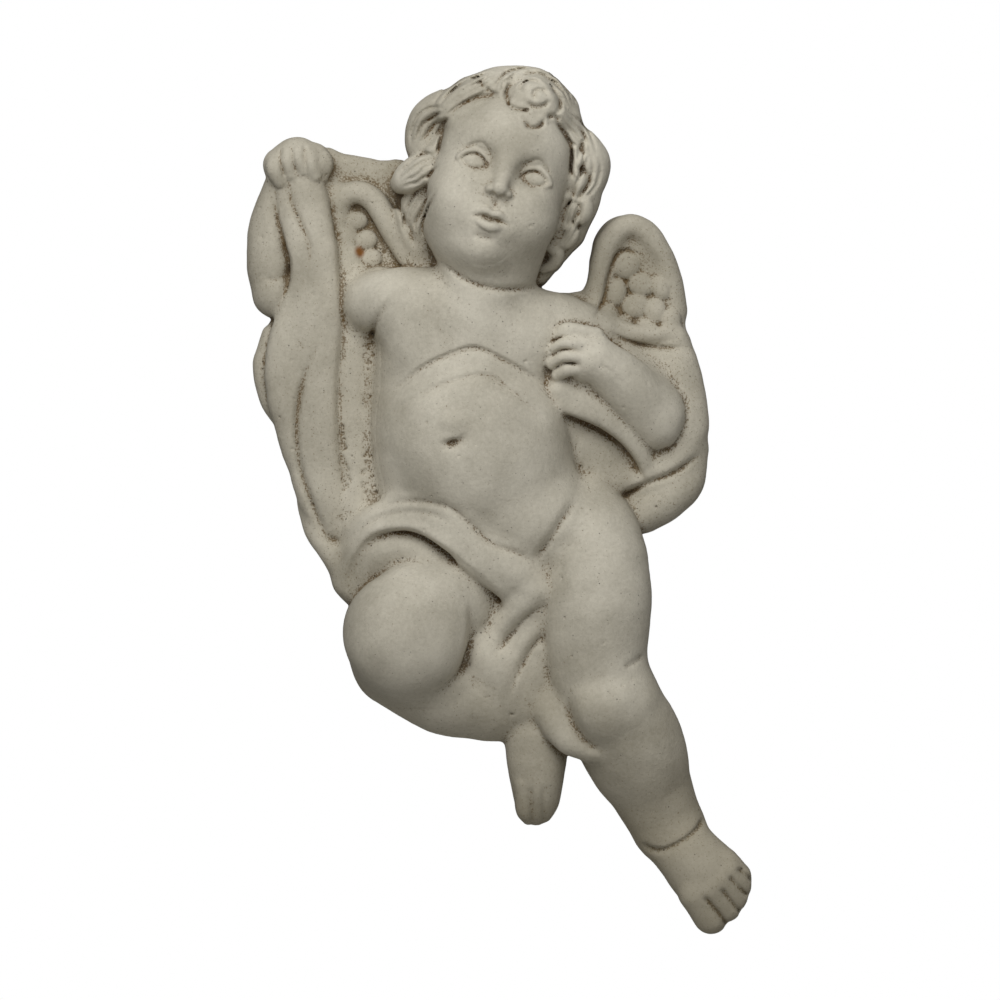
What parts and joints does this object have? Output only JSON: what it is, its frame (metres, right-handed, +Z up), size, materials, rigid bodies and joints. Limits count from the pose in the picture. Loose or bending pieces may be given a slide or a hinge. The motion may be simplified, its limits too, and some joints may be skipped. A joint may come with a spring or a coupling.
{
  "type": "putto wall statue",
  "caption": "Winged infant in high relief with falling drapery, cast as a single piece with a flat back that hangs against a wall.",
  "frame": {"origin": "a point on the flat back, behind the base of the neck", "axes": "+Z up as hung, +Y into the wall, so the figure faces -Y; +X is to the viewer's right"},
  "size_m": [0.1522, 0.0512, 0.2597],
  "materials": {
    "cast_stone": "matte cast stone, dusty, with brown dirt in the creases"
  },
  "bodies": {
    "root": {"putto": "cast_stone"}
  },
  "joints": []
}
